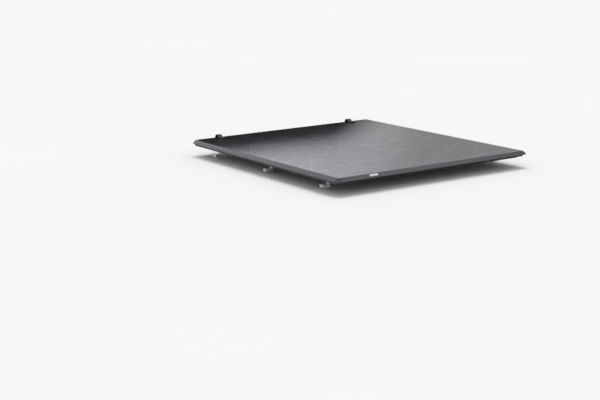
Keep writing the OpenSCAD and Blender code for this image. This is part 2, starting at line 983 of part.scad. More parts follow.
// The right rod's outline about the handle's axis: a fork over the upper pin, a step and a long bar
module rod_outline() {
  slot_half = pin_d / 2 + fork_gap;
  end_x = bolt_start_x + bolt_slot;
  difference() {
    patch([-pin_shift - fork_half, fork_low], [-pin_shift + fork_half, fork_top + prong]);
    patch([-pin_shift - slot_half, fork_low - over], [-pin_shift + slot_half, fork_top]);
  }
  patch([-pin_shift + slot_half, fork_top], [rod_start_x + rod_h, fork_top + prong]);
  patch([rod_start_x, -rod_h / 2], [rod_start_x + rod_h, fork_top + prong]);
  patch([rod_start_x, -rod_h / 2], [end_x, rod_h / 2]);
}

// The left side is the right side turned half round the handle's axis
module latch_turned(side) {
  translate([0, 0, mouth_z])
    rotate([0, side > 0 ? 0 : 180, 0])
      children();
}

module latch_rod(side) {
  color(zinc)
    latch_turned(side)
      run(rod_y + rod_t, rod_t) rod_outline();
}

module latch_bolt(side) {
  color(zinc)
    latch_turned(side)
      difference() {
        translate([bolt_start_x, rod_mid_y, 0])
          rotate([0, 90, 0]) {
            cylinder(h = bolt_len - bolt_chamfer, d = bolt_d);
            translate([0, 0, bolt_len - bolt_chamfer])
              cylinder(h = bolt_chamfer, d1 = bolt_d, d2 = bolt_d - 2 * bolt_chamfer);
          }
        block(
          [bolt_start_x - over, rod_y, -bolt_d],
          [bolt_start_x + bolt_slot, rod_y + rod_t, bolt_d]
        );
      }
}

module left_latch_rod() { latch_rod(-1); }
module right_latch_rod() { latch_rod(1); }
module left_latch_bolt() { latch_bolt(-1); }
module right_latch_bolt() { latch_bolt(1); }

module latch_guides() {
  window = rod_h / 2 + stack_gap;
  color(moulded)
    on_both_sides() {
      difference() {
        block(
          [guide_x, rear_front_y, mouth_z - guide_half],
          [guide_x + guide_len, guide_front_y, mouth_z + guide_half]
        );
        translate([guide_x - over, rod_mid_y, mouth_z])
          rotate([0, 90, 0])
            cylinder(h = guide_len + 2 * over, d = bolt_d + 2 * bolt_gap);
        at_rear_screws() rear_screw_hole();
      }
      difference() {
        block(
          [rod_guide_x, rear_front_y, mouth_z - guide_half],
          [rod_guide_x + rod_guide_len, guide_front_y, mouth_z + guide_half]
        );
        block(
          [rod_guide_x - over, rod_y - stack_gap, mouth_z - window],
          [rod_guide_x + rod_guide_len + over, rod_y + rod_t + stack_gap, mouth_z + window]
        );
      }
    }
}

left_side_rail();
right_side_rail();
left_hook_strip();
right_hook_strip();
left_rail_seal();
right_rail_seal();
rail_end_plugs();
tension_blocks();
clamp_brackets();
clamp_bolts();
left_front_jaw();
left_middle_jaw();
left_rear_jaw();
right_front_jaw();
right_middle_jaw();
right_rear_jaw();
header();
header_brackets();
header_seal();
header_screws();
front_cover();
storage_straps();
strap_buckles();
left_tension_screw();
right_tension_screw();
left_tension_knob();
right_tension_knob();
cover_strip_01();
cover_strip_02();
cover_strip_03();
cover_strip_04();
cover_strip_05();
cover_strip_06();
cover_strip_07();
cover_strip_08();
cover_strip_09();
cover_strip_10();
cover_strip_11();
cover_strip_12();
cover_strip_13();
cover_strip_14();
cover_strip_15();
cover_strip_16();
bow_1();
bow_2();
bow_3();
bow_4();
rear_cover();
rear_rail();
rear_end_caps();
tailgate_seal();
latch_plate();
latch_guides();
rear_screws();
latch_cam();
latch_handle();
left_latch_rod();
right_latch_rod();
left_latch_bolt();
right_latch_bolt();
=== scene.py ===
"""Looks of a soft roll-up tonneau cover.

Metres, +X right, +Y forward, +Z up. The sheet is cut at the middle of each strip, so that every piece
crosses one fold line.
"""

import json
import math

import bmesh
import bpy
from mathutils import Matrix, Vector


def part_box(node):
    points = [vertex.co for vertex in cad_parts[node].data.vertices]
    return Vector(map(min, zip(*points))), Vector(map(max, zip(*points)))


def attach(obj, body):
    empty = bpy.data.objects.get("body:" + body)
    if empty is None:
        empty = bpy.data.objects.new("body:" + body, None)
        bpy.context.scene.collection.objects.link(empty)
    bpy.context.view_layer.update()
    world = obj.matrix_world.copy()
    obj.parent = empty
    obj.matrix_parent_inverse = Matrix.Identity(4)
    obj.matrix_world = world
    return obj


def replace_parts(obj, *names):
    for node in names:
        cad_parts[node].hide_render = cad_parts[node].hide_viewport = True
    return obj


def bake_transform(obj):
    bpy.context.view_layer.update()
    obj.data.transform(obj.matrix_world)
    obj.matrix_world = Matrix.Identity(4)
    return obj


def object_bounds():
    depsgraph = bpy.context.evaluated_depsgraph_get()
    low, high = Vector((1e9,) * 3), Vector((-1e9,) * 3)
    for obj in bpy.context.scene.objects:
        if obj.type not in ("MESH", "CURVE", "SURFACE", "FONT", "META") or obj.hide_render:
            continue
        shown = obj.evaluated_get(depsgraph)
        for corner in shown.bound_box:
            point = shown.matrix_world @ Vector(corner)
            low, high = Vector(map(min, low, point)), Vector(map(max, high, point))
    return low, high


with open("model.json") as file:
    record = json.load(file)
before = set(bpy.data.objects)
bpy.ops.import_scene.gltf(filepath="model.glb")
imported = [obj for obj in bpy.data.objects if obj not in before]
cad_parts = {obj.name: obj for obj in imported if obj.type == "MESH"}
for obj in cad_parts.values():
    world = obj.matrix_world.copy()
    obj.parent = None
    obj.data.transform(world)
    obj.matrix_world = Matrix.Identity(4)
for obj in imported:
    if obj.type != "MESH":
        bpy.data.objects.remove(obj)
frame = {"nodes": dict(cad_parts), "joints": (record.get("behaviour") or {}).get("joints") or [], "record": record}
cad_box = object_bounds()
scene = bpy.context.scene
scene.view_settings.view_transform = "Standard"

# Photograph
IMAGE_W = 600
FOCAL_PX = 1297.9
CAMERA_AT = (-5.817, -8.870, 1.777)
CAMERA_YAW = 33.85
CAMERA_PITCH = 12.39
CAMERA_ROLL = -0.77
SENSOR_W = 36
CLIP_END = 200

# Sheet
SKIN = 0.0015
HEM_RUN = 0.024
HEM_DROP = 0.0275
HEM_CREASE_R = 0.006
REAR_RUN = 0.016
REAR_CREASE_R = 0.009
REAR_CORNER_R = 0.013
FRONT_RUN = 0.0015
FRONT_DROP = 0.020
FRONT_CREASE_R = 0.003
CREASE_STEPS = 6
CORNER_STEPS = 8
TOP_COLUMNS = 32
FOLD_ROWS = 24
REAR_ROWS = 6
REAR_CUT_SHARE = 0.25
HEM_BAND = 0.0135
HEM_BAND_MOST = 0.6
HEM_PROUD = 0.0006
BOW_COUNT = 4
SAG_PER_SPAN = 0.0045
SAG_FREE_X = 0.62
SAG_STOP_X = 0.80

# The hem's sewn band as (share of the band above the edge, share of its full height)
HEM_BAND_LINE = ((1.35, 0), (1.08, 0), (1.0, 0.6), (0.9, 1), (0.5, 1), (0.12, 1), (0.04, 0.7), (0, 0.3))

# Straps, with the line of one from its sewn foot to its end as (y, z)
STRAP_X = 0.640
STRAP_W = 0.038
STRAP_T = 0.0016
STRAP_LINE = (
    (0.0267, 0.0225), (0.0267, 0.0340), (0.0268, 0.0460), (0.0252, 0.0570), (0.0180, 0.0668),
    (0.0050, 0.0707), (-0.0080, 0.0690), (-0.0180, 0.0622), (-0.0255, 0.0545), (-0.0330, 0.0490),
    (-0.0395, 0.0480), (-0.0435, 0.0507), (-0.0470, 0.0523), (-0.0505, 0.0507), (-0.0550, 0.0478),
    (-0.0610, 0.0471), (-0.0680, 0.0471),
)
STRAP_STEPS = 6
STRAP_COLUMNS = 12
STRAP_EDGE_SHARE = 0.3
SEWN_W = 0.028
SEWN_LOW = 0.0255
SEWN_HIGH = 0.0435

# Buckles, with heights above the sheet. A bar is (y, height, length along Y, thickness).
BUCKLE_Y = -0.0509
BUCKLE_W = 0.048
BUCKLE_LEN = 0.036
BUCKLE_R = 0.0012
CHEEK_W = 0.0048
CHEEK_H = 0.0060
CHEEK_UP = 0.0042
FRONT_BAR = (0.0152, 0.0052, 0.0050, 0.0034)
MIDDLE_BAR = (0.0039, 0.0034, 0.0058, 0.0034)
LEVER = (-0.0110, 0.0056, 0.0135, 0.0028)
LEVER_R = 0.0010
LEVER_TILT = -8
RIB_COUNT = 4
RIB_Y = -0.0062
RIB_PITCH = 0.0032
RIB_UP = 0.0070
RIB_RISE = 0.14
RIB_W_SHARE = 0.78
RIB_T = 0.0012
RIB_R = 0.0004

# Tag
TAG_X = -0.552
TAG_W = 0.070
TAG_H = 0.015
TAG_DOWN = 0.0045
TAG_T = 0.0007
TAG_EDGE_SHARE = 0.4

# Edge radius by finish, and by node where that is too much
PLAIN_EDGE_R = 0.0003
EDGE_R = {
    "coated_aluminium": 0.0005,
    "mill_aluminium": 0.0005,
    "black_nylon": 0.0007,
    "seal_rubber": 0.0007,
}
FINE_EDGE_R = {
    "left_tension_knob": PLAIN_EDGE_R,
    "right_tension_knob": PLAIN_EDGE_R,
    "tailgate_seal": PLAIN_EDGE_R,
    "header_brackets": 0,
}
EDGE_SEGMENTS = 2
NODE_EDGE_ANGLE = 35
NODE_FLAT_ANGLE = 0.5
NODE_WELD = 0.00001
SOFT_EDGE_ANGLE = 40

# Angle in degrees up to which a form is shaded smooth
SMOOTH = {"sheet": 50, "stitches": 60, "strap": 40, "buckle": 50, "tag": 40, "hardware": 35}

# Stitches, whose rings are (share of the length, lift in radii, swell)
STITCH_PITCH = 0.006
STITCH_LEN = 0.0044
STITCH_R = 0.00045
STITCH_UP = 0.0105
STITCH_SIDES = 6
STITCH_FLAT = 1.3
STITCH_RINGS = ((-0.5, -1.0, 0.55), (-0.3, 0.1, 1.0), (0.0, 0.35, 1.05), (0.3, 0.1, 1.0), (0.5, -1.0, 0.55))

# Threads and screw heads. A head's rings are (share of the height, share of the radius).
CLAMP_BOLT_D = 0.008
CLAMP_HEAD_H = 0.006
SCREW_D = 0.004
SCREW_HEAD_H = 0.003
THREAD_PITCH = 0.00125
THREAD_DEPTH = 0.00065
THREAD_SIDES = 16
TIP_GAP = 0.0003
SAME_POINT = 0.000001
SAME_THREAD_POINT = 0.0000005
HEAD_SIDES = 24
HEX_FOOT = ((0, 0.84), (0.10, 0.86))
HEX_FACES = (0.12, 0.84)
HEX_TOP_SHARE = 0.86
SOCKET_DOME = ((0, 1), (0.30, 1), (0.62, 0.94), (0.86, 0.78), (1, 0.56))
SOCKET_HOLE = ((0.98, 0.50), (0.40, 0.48))

# Floor, lamp and the light all round
FLOOR_REACH = 90
FLOOR_GAP = 0.0005
SUN_ENERGY = 1.3
SUN_ANGLE = 35
SUN_AIM = (-0.25, -0.35, -1)
WORLD_LIGHT = 0.66

# Cards that only the sheen sees: places, where they fade, and how much they glow.
# The dark one fades along X plus its slant times Z.
DARK_Y = 0.07
DARK_LEFT = -0.80
DARK_SLANT = 1.2
DARK_FADE_X = (0.74, 1.32)
DARK_FADE_Z = (0.22, 0.35)
FAR_Y = 4.555
BRIGHT_X = (0.6, 8.5)
BRIGHT_Z = (0.1, 2.6)
BRIGHT_FADE_X = (3.0, 5.1)
BRIGHT_FADE_Z = (0.62, 1.2)
BRIGHT_GLOW = 1.8
BRIGHT_LOW_SHARE = 0.46
SIDE_X = (-4.4, -0.8)
SIDE_Z = (1.8, 5.2)
SIDE_GLOW = 1.5
REAR_AIM = (0.545, -0.600, 0.579)
REAR_AWAY = 5.0
REAR_HALF = 2.2
REAR_FADE = (0.7, 2.1)
REAR_GLOW = 3.6
SHEEN_COLOUR = (0.93, 0.922, 1.0, 1)
SHEEN_LIGHT = 1.0

RIGHT = Vector((1, 0, 0))
AHEAD = Vector((0, 1, 0))
UP = Vector((0, 0, 1))

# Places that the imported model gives
half_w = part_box("cover_strip_01")[1].x
top_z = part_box("cover_strip_01")[1].z
crease_x = half_w - HEM_RUN
front_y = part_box("front_cover")[1].y
rear_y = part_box("rear_cover")[0].y
rear_crease_y = rear_y + REAR_RUN
fold_joints = [j for j in frame["joints"] if j["name"].startswith(("cover_roll", "cover_fold"))]
fold_joints.sort(key=lambda j: -j["pos_m"][1])
folds = [j["pos_m"][1] for j in fold_joints]
strip_len = folds[0] - folds[1]
rear_bar_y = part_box("rear_rail")[1].y


# Helpers for meshes

def smoothstep(t):
    t = min(max(t, 0.0), 1.0)
    return t * t * (3 - 2 * t)


def lerp(a, b, t):
    return a + (b - a) * t


def new_object(name, mesh, *materials):
    obj = bpy.data.objects.new(name, mesh)
    scene.collection.objects.link(obj)
    for material in materials:
        mesh.materials.append(material)
    return obj


def mesh_from(name, points, faces, uvs=None):
    mesh = bpy.data.meshes.new(name)
    mesh.from_pydata(points, [], faces)
    if uvs:
        layer = mesh.uv_layers.new(name="flat")
        for loop in mesh.loops:
            layer.data[loop.index].uv = uvs[loop.vertex_index]
    mesh.validate()
    return mesh


def object_from(name, bm, material):
    mesh = bpy.data.meshes.new(name)
    bm.to_mesh(mesh)
    bm.free()
    return new_object(name, mesh, material)


def apply_modifiers(obj):
    depsgraph = bpy.context.evaluated_depsgraph_get()
    mesh = bpy.data.meshes.new_from_object(obj.evaluated_get(depsgraph))
    obj.modifiers.clear()
    obj.data = mesh
    return obj


def shade(obj, angle):
    obj.data.shade_smooth()
    obj.data.set_sharp_from_angle(angle=math.radians(angle))
    return obj


def add_bevel(obj, radius, angle):
    bevel = obj.modifiers.new("edges", "BEVEL")
    bevel.width = radius
    bevel.segments = EDGE_SEGMENTS
    bevel.limit_method = "ANGLE"
    bevel.angle_limit = math.radians(angle)
    bevel.use_clamp_overlap = True


def soften(obj, radius):
    add_bevel(obj, radius, SOFT_EDGE_ANGLE)
    return apply_modifiers(obj)


def thicken(obj, thickness, offset=-1.0, inner=0):
    """Gives a sheet its thickness; its back takes the material that is inner slots further on."""
    solid = obj.modifiers.new("thickness", "SOLIDIFY")
    solid.thickness = thickness
    solid.offset = offset
    solid.use_even_offset = True
    solid.material_offset = inner
    return apply_modifiers(obj)


# Helpers for materials

class Graph:
    """A material's node tree, with its main shader."""

    def __init__(self, name, roughness, metallic=0.0):
        self.material = bpy.data.materials.new(name)
        self.material.use_nodes = True
        self.tree = self.material.node_tree
        self.shader = self.tree.nodes["Principled BSDF"]
        self.shader.inputs["Roughness"].default_value = roughness
        self.shader.inputs["Metallic"].default_value = metallic

    def add(self, kind, inputs=None, **settings):
        node = self.tree.nodes.new(kind)
        for key, value in settings.items():
            setattr(node, key, value)
        for key, value in (inputs or {}).items():
            self.feed(node.inputs[key], value)
        return node

    def feed(self, socket, value):
        if isinstance(value, bpy.types.NodeSocket):
            self.tree.links.new(value, socket)
        else:
            socket.default_value = value

    def flat(self):
        return self.add("ShaderNodeUVMap", uv_map="flat").outputs["UV"]

    def place(self, scale=(1, 1, 1)):
        """Rest coordinates in metres, stretched by scale."""
        where = self.add("ShaderNodeTexCoord").outputs["Object"]
        return self.add("ShaderNodeMapping", {"Vector": where, "Scale": scale}).outputs["Vector"]

    def noise(self, where, scale, detail=3.0, rough=0.5):
        settings = {"Vector": where, "Scale": scale, "Detail": detail, "Roughness": rough}
        return self.add("ShaderNodeTexNoise", settings).outputs["Fac"]

    def cells(self, where, scale, feature="DISTANCE_TO_EDGE"):
        node = self.add("ShaderNodeTexVoronoi", feature=feature)
        self.feed(node.inputs["Vector"], where)
        self.feed(node.inputs["Scale"], scale)
        return node.outputs["Distance"]

    def ramp(self, value, low, high, out_low=0.0, out_high=1.0):
        settings = {"Value": value, "From Min": low, "From Max": high}
        settings.update({"To Min": out_low, "To Max": out_high})
        return self.add("ShaderNodeMapRange", settings).outputs["Result"]

    def math(self, operation, a, b=0.0):
        node = self.add("ShaderNodeMath", operation=operation)
        self.feed(node.inputs[0], a)
        self.feed(node.inputs[1], b)
        return node.outputs["Value"]

    def split(self, vector):
        return self.add("ShaderNodeSeparateXYZ", {"Vector": vector}).outputs

    def away(self, where, centre):
        """Distance from a point."""
        node = self.add("ShaderNodeVectorMath", operation="DISTANCE")
        self.feed(node.inputs[0], where)
        self.feed(node.inputs[1], centre)
        return node.outputs["Value"]

    def wave(self, coordinate, pitch):
        """A rounded ridge every pitch along a coordinate, from 0 to 1."""
        turn = self.math("MULTIPLY", coordinate, 2 * math.pi / pitch)
        return self.ramp(self.math("SINE", turn), -1, 1)

    def colours(self, share, low, high):
        node = self.add("ShaderNodeMix", data_type="RGBA")
        self.feed(node.inputs["Factor"], share)
        self.feed(node.inputs["A"], (*low, 1))
        self.feed(node.inputs["B"], (*high, 1))
        return node.outputs["Result"]

    def finish(self, colour=None, roughness=None, height=None, depth=0.0001, strength=1.0):
        if colour is not None:
            self.feed(self.shader.inputs["Base Color"], colour)
        if roughness is not None:
            self.feed(self.shader.inputs["Roughness"], roughness)
        if height is not None:
            bump = self.add("ShaderNodeBump", {"Height": height, "Distance": depth, "Strength": strength})
            self.feed(self.shader.inputs["Normal"], bump.outputs["Normal"])
        return self.material


def grained_vinyl():
    g = Graph("grained_vinyl", 0.45)
    flat = g.flat()
    pebbles = g.ramp(g.cells(flat, 620), 0.0, 0.16)
    pores = g.noise(flat, 2400, 2.0)
    grain = g.math("ADD", pebbles, g.math("MULTIPLY", pores, 0.35))
    film = g.noise(flat, 5.0, 6.0, 0.6)
    creases = g.add("ShaderNodeAttribute", attribute_name="worn").outputs["Fac"]
    worn = g.math("MULTIPLY", creases, g.ramp(g.noise(flat, 60, 4.0), 0.35, 0.75))
    tone = g.math("ADD", g.ramp(film, 0.3, 0.7, 0.15, 0.6), g.math("MULTIPLY", worn, 0.4))
    rough = g.math("ADD", g.ramp(film, 0.3, 0.7, 0.25, 0.31), g.math("MULTIPLY", worn, 0.06))
    colour = g.colours(tone, (0.0068, 0.0068, 0.0086), (0.0165, 0.0165, 0.0205))
    return g.finish(colour, rough, grain, 0.00012, 0.5)


def backing_cloth():
    g = Graph("backing_cloth", 0.85)
    u, v = g.split(g.flat())[:2]
    weave = g.math("MULTIPLY", g.wave(u, 0.0016), g.wave(v, 0.0016))
    tone = g.math("ADD", g.math("MULTIPLY", weave, 0.6), g.math("MULTIPLY", g.noise(g.flat(), 90), 0.4))
    colour = g.colours(tone, (0.012, 0.012, 0.013), (0.050, 0.050, 0.052))
    return g.finish(colour, None, weave, 0.0003, 0.8)


def powder_coat():
    g = Graph("powder_coat", 0.5)
    where = g.place()
    peel = g.noise(where, 900, 2.0)
    tone = g.ramp(g.noise(where, 14, 4.0), 0.3, 0.7)
    rough = g.ramp(g.noise(where, 30, 3.0), 0.3, 0.7, 0.42, 0.56)
    colour = g.colours(tone, (0.016, 0.016, 0.017), (0.026, 0.026, 0.028))
    return g.finish(colour, rough, peel, 0.00006, 0.6)


def mill_aluminium(name, stretch):
    g = Graph(name, 0.38, 1.0)
    lines = g.noise(g.place(stretch), 1, 4.0, 0.65)
    blotches = g.noise(g.place(), 20, 4.0)
    tone = g.math("ADD", g.math("MULTIPLY", lines, 0.6), g.math("MULTIPLY", blotches, 0.4))
    rough = g.ramp(lines, 0.3, 0.7, 0.32, 0.46)
    colour = g.colours(tone, (0.46, 0.47, 0.49), (0.72, 0.73, 0.75))
    return g.finish(colour, rough, lines, 0.00004, 0.5)


def zinc_plate():
    g = Graph("zinc_plate", 0.32, 1.0)
    where = g.place()
    spangle = g.cells(where, 160, "F1")
    tone = g.math("ADD", g.math("MULTIPLY", spangle, 0.5), g.math("MULTIPLY", g.noise(where, 35, 4.0), 0.6))
    rough = g.ramp(g.noise(where, 60, 3.0), 0.3, 0.7, 0.26, 0.42)
    fine = g.noise(where, 1500, 2.0)
    colour = g.colours(tone, (0.48, 0.49, 0.52), (0.74, 0.74, 0.73))
    return g.finish(colour, rough, fine, 0.00003, 0.5)


def moulded_nylon():
    g = Graph("moulded_nylon", 0.5)
    where = g.place()
    spark = g.noise(where, 1800, 2.0)
    tone = g.ramp(g.noise(where, 25, 4.0), 0.3, 0.7)
    rough = g.ramp(g.noise(where, 70, 3.0), 0.3, 0.7, 0.40, 0.54)
    colour = g.colours(tone, (0.012, 0.012, 0.012), (0.022, 0.022, 0.023))
    return g.finish(colour, rough, spark, 0.00005, 0.6)


def hook_tape():
    g = Graph("hook_tape", 0.7)
    where = g.place()
    hooks = g.cells(where, 900, "F1")
    tone = g.ramp(hooks, 0.1, 0.6)
    colour = g.colours(tone, (0.030, 0.030, 0.031), (0.008, 0.008, 0.008))
    return g.finish(colour, None, hooks, 0.0008, 0.9)


def sponge_rubber():
    g = Graph("sponge_rubber", 0.85)
    where = g.place()
    pores = g.ramp(g.cells(where, 1100, "F1"), 0.0, 0.45)
    tone = g.math("MULTIPLY", pores, g.ramp(g.noise(where, 30, 3.0), 0.2, 0.8, 0.6, 1.0))
    colour = g.colours(tone, (0.010, 0.010, 0.010), (0.030, 0.030, 0.030))
    return g.finish(colour, None, pores, 0.0002, 0.8)


def woven_webbing():
    g = Graph("woven_webbing", 0.62)
    u, v = g.split(g.flat())[:2]
    skew = g.math("ADD", v, g.math("MULTIPLY", u, 0.8))
    ribs = g.math("MULTIPLY", g.wave(u, 0.0019), g.wave(skew, 0.0021))
    tone = g.math("ADD", g.math("MULTIPLY", ribs, 0.7), g.math("MULTIPLY", g.noise(g.flat(), 300), 0.3))
    colour = g.colours(tone, (0.014, 0.014, 0.015), (0.060, 0.060, 0.064))
    return g.finish(colour, None, ribs, 0.0003, 0.9)


def sewing_thread():
    g = Graph("sewing_thread", 0.6)
    twist = g.noise(g.place(), 2500, 2.0)
    colour = g.colours(twist, (0.030, 0.030, 0.032), (0.085, 0.085, 0.090))
    return g.finish(colour, None, twist, 0.0001, 0.7)


def pale_label():
    g = Graph("pale_label", 0.6)
    u, v = g.split(g.place())[:2]
    weave = g.math("MULTIPLY", g.wave(u, 0.0011), g.wave(v, 0.0011))
    tone = g.math("ADD", g.math("MULTIPLY", weave, 0.4), g.math("MULTIPLY", g.noise(g.place(), 120), 0.5))
    colour = g.colours(tone, (0.68, 0.68, 0.70), (0.88, 0.88, 0.89))
    return g.finish(colour, None, weave, 0.0001, 0.5)


vinyl = grained_vinyl()
backing = backing_cloth()
webbing = woven_webbing()
nylon = moulded_nylon()
thread = sewing_thread()
zinc = zinc_plate()


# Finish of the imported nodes

def round_edges(node, radius):
    weld = node.modifiers.new("weld", "WELD")
    weld.merge_threshold = NODE_WELD
    flat = node.modifiers.new("flat", "DECIMATE")
    flat.decimate_type = "DISSOLVE"
    flat.angle_limit = math.radians(NODE_FLAT_ANGLE)
    if radius == 0:
        return
    add_bevel(node, radius, NODE_EDGE_ANGLE)
    normals = node.modifiers.new("normals", "WEIGHTED_NORMAL")
    normals.keep_sharp = False


def dress_nodes():
    across = mill_aluminium("mill_aluminium_bar", (6, 700, 700))
    along = mill_aluminium("mill_aluminium_block", (500, 8, 500))
    finishes = {
        "vinyl": vinyl,
        "coated_aluminium": powder_coat(),
        "mill_aluminium": along,
        "zinc_steel": zinc,
        "black_nylon": nylon,
        "hook_tape": hook_tape(),
        "seal_rubber": sponge_rubber(),
        "webbing": webbing,
    }
    for row in frame["record"]["subparts"]:
        node = frame["nodes"][row["node"]]
        slot = row["material_slot"]
        finish = across if row["node"].startswith("bow_") else finishes[slot]
        node.data.materials.clear()
        node.data.materials.append(finish)
        round_edges(node, FINE_EDGE_R.get(row["node"], EDGE_R.get(slot, PLAIN_EDGE_R)))


# The sheet's form

def skirt(run, drop, radius):
    """A hem's outer line from the flat top down, as (outward, up, distance) from the crease."""
    turn = math.atan2(drop, run)
    tangent = radius * math.tan(turn / 2)
    line = []
    for i in range(CREASE_STEPS + 1):
        angle = turn * i / CREASE_STEPS
        line.append((radius * math.sin(angle) - tangent, radius * (math.cos(angle) - 1)))
    start_out, start_up = line[-1]
    slope = math.hypot(run - start_out, drop + start_up)
    down = ((run - start_out) / slope, (-drop - start_up) / slope)
    out = (-down[1], down[0])
    band = min(HEM_BAND, slope * HEM_BAND_MOST)
    for left, proud in HEM_BAND_LINE:
        far = slope - band * left
        if far > 0:
            lift = proud * HEM_PROUD
            o = start_out + down[0] * far + out[0] * lift
            u = start_up + down[1] * far + out[1] * lift
            line.append((o, u))
    walked = [-tangent]
    for (o0, u0), (o1, u1) in zip(line, line[1:]):
        walked.append(walked[-1] + math.hypot(o1 - o0, u1 - u0))
    return [(o, u, d) for (o, u), d in zip(line, walked)]


def bow_places():
    """The stretches along Y where something carries the sheet, from the front."""
    held = [(front_y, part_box("header")[0].y)]
    for n in range(1, BOW_COUNT + 1):
        low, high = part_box(f"bow_{n}")
        held.append((high.y, low.y))
    held.append((rear_bar_y, rear_y))
    return held


carried = bow_places()


def sag(x, y):
    """How far the sheet hangs between what carries it."""
    share = 1 - smoothstep((abs(x) - SAG_FREE_X) / (SAG_STOP_X - SAG_FREE_X))
    for (_, start), (stop, _) in zip(carried, carried[1:]):
        if stop < y < start:
            span = start - stop
            t = (start - y) / span
            return share * SAG_PER_SPAN * span * span * (4 * t * (1 - t)) ** 1.5
    return 0.0


def wear_at(i):
    """How worn the sheet is at a point down the hem: most in the middle of the crease."""
    middle = CREASE_STEPS / 2
    return max(0.0, 1 - abs(i - middle) / (middle + 1))


def side_section():
    """The sheet's section as (x, up, distance across, worn)."""
    hem = skirt(HEM_RUN, HEM_DROP, HEM_CREASE_R)
    right = [(crease_x + o, u, crease_x + d, wear_at(i)) for i, (o, u, d) in enumerate(hem)]
    left = [(-x, u, -d, w) for x, u, d, w in reversed(right)]
    inner = right[0][0]
    top = []
    for i in range(1, TOP_COLUMNS):
        x = lerp(-inner, inner, i / TOP_COLUMNS)
        top.append((x, 0.0, x, 0.0))
    return left + top + right


def set_worn(mesh, worn):
    attribute = mesh.attributes.new("worn", "FLOAT", "POINT")
    attribute.data.foreach_set("value", worn)


def sheet_piece(name, points, faces, uvs, worn):
    mesh = mesh_from(name, points, faces, uvs)
    set_worn(mesh, worn)
    obj = new_object(name, mesh, vinyl, backing)
    thicken(obj, SKIN, inner=1)
    shade(obj, SMOOTH["sheet"])
    return obj


def strip_sheet(name, start, stop):
    """A length of the sheet from one place along Y to another, with both hems."""
    section = side_section()
    points, uvs, worn, faces = [], [], [], []
    for row in range(FOLD_ROWS + 1):
        y = lerp(start, stop, row / FOLD_ROWS)
        for x, up, across, wear in section:
            points.append((x, y, top_z + up - sag(x, y)))
            uvs.append((across, y))
            worn.append(wear)
    width = len(section)
    for row in range(FOLD_ROWS):
        for column in range(width - 1):
            a = row * width + column
            faces.append((a, a + width, a + width + 1, a + 1))
    return sheet_piece(name, points, faces, uvs, worn)


def front_sheet(name, open_y):
    """The sheet's front end: its hems stop short of the edge, and its top turns down over the header."""
    section = side_section()
    hem_points = len(skirt(HEM_RUN, HEM_DROP, HEM_CREASE_R))
    lip = skirt(FRONT_RUN, FRONT_DROP, FRONT_CREASE_R)
    crease_y = front_y - FRONT_RUN
    lines = [(lerp(open_y, crease_y + lip[0][0], i / FOLD_ROWS), 0.0, None) for i in range(FOLD_ROWS + 1)]
    lines += [(crease_y + out, up, crease_y + walked) for out, up, walked in lip[1:]]
    points, uvs, worn, faces, rows = [], [], [], [], []
    for y, drop, flat_y in lines:
        columns = section if flat_y is None else section[hem_points - 1:len(section) - hem_points + 1]
        rows.append(range(len(points), len(points) + len(columns)))
        for x, up, across, wear in columns:
            points.append((x, y, top_z + up + drop - sag(x, y)))
            uvs.append((across, y if flat_y is None else flat_y))
            worn.append(wear)
    for near, far in zip(rows, rows[1:]):
        near = near[len(near) // 2 - len(far) // 2:][:len(far)]
        for column in range(len(far) - 1):
            faces.append((near[column], near[column + 1], far[column + 1], far[column]))
    return sheet_piece(name, points, faces, uvs, worn)


def rear_stations(open_y):
    """Places down the right side and round its corner: (crease x, crease y, out x, out y, hem line)."""
    straight = rear_crease_y + REAR_CORNER_R
    stations = []
    for i in range(REAR_ROWS):
        y = lerp(open_y, straight, i / REAR_ROWS)
        stations.append((crease_x, y, 1.0, 0.0, skirt(HEM_RUN, HEM_DROP, HEM_CREASE_R)))
    for i in range(CORNER_STEPS + 1):
        angle = math.pi / 2 * i / CORNER_STEPS
        out = (math.cos(angle), -math.sin(angle))
        t = math.sin(angle) ** 2
        line = skirt(lerp(HEM_RUN, REAR_RUN, t), HEM_DROP, lerp(HEM_CREASE_R, REAR_CREASE_R, t))
        x = crease_x - REAR_CORNER_R + REAR_CORNER_R * out[0]
        stations.append((x, straight + REAR_CORNER_R * out[1], *out, line))
    return stations


def rear_sheet(name, open_y):
    """The rear end of the sheet, with its hem carried round both corners."""
    right = rear_stations(open_y)
    points, uvs, worn, faces = [], [], [], []

    def add(point, uv, wear):
        points.append(point)
        uvs.append(uv)
        worn.append(wear)
        return len(points) - 1

    rows = []
    for cx, cy, nx, ny, line in right:
        edge_x, edge_y = cx + nx * line[0][0], cy + ny * line[0][0]
        row = []
        for column in range(TOP_COLUMNS + 1):
            x = lerp(-edge_x, edge_x, column / TOP_COLUMNS)
            row.append(add((x, edge_y, top_z - sag(x, edge_y)), (x, edge_y), wear_at(0)))
        rows.append(row)
    for near, far in zip(rows, rows[1:]):
        for column in range(TOP_COLUMNS):
            faces.append((near[column], far[column], far[column + 1], near[column + 1]))

    def hem(cx, cy, nx, ny, line, first):
        column = [first]
        for i, (out, up, walked) in enumerate(line[1:], 1):
            place = (cx + nx * out, cy + ny * out, top_z + up)
            column.append(add(place, (cx + nx * walked, cy + ny * walked), wear_at(i)))
        return column

    columns = [hem(-cx, cy, -nx, ny, line, row[0]) for (cx, cy, nx, ny, line), row in zip(right, rows)]
    cx, cy, nx, ny, line = right[-1]
    for first in rows[-1][1:-1]:
        columns.append(hem(points[first][0], cy, 0.0, ny, line, first))
    for (cx, cy, nx, ny, line), row in reversed(list(zip(right, rows))):
        columns.append(hem(cx, cy, nx, ny, line, row[-1]))
    for near, far in zip(columns, columns[1:]):
        for i in range(len(line) - 1):
            faces.append((near[i], near[i + 1], far[i + 1], far[i]))
    return sheet_piece(name, points, faces, uvs, worn)


# Stitches

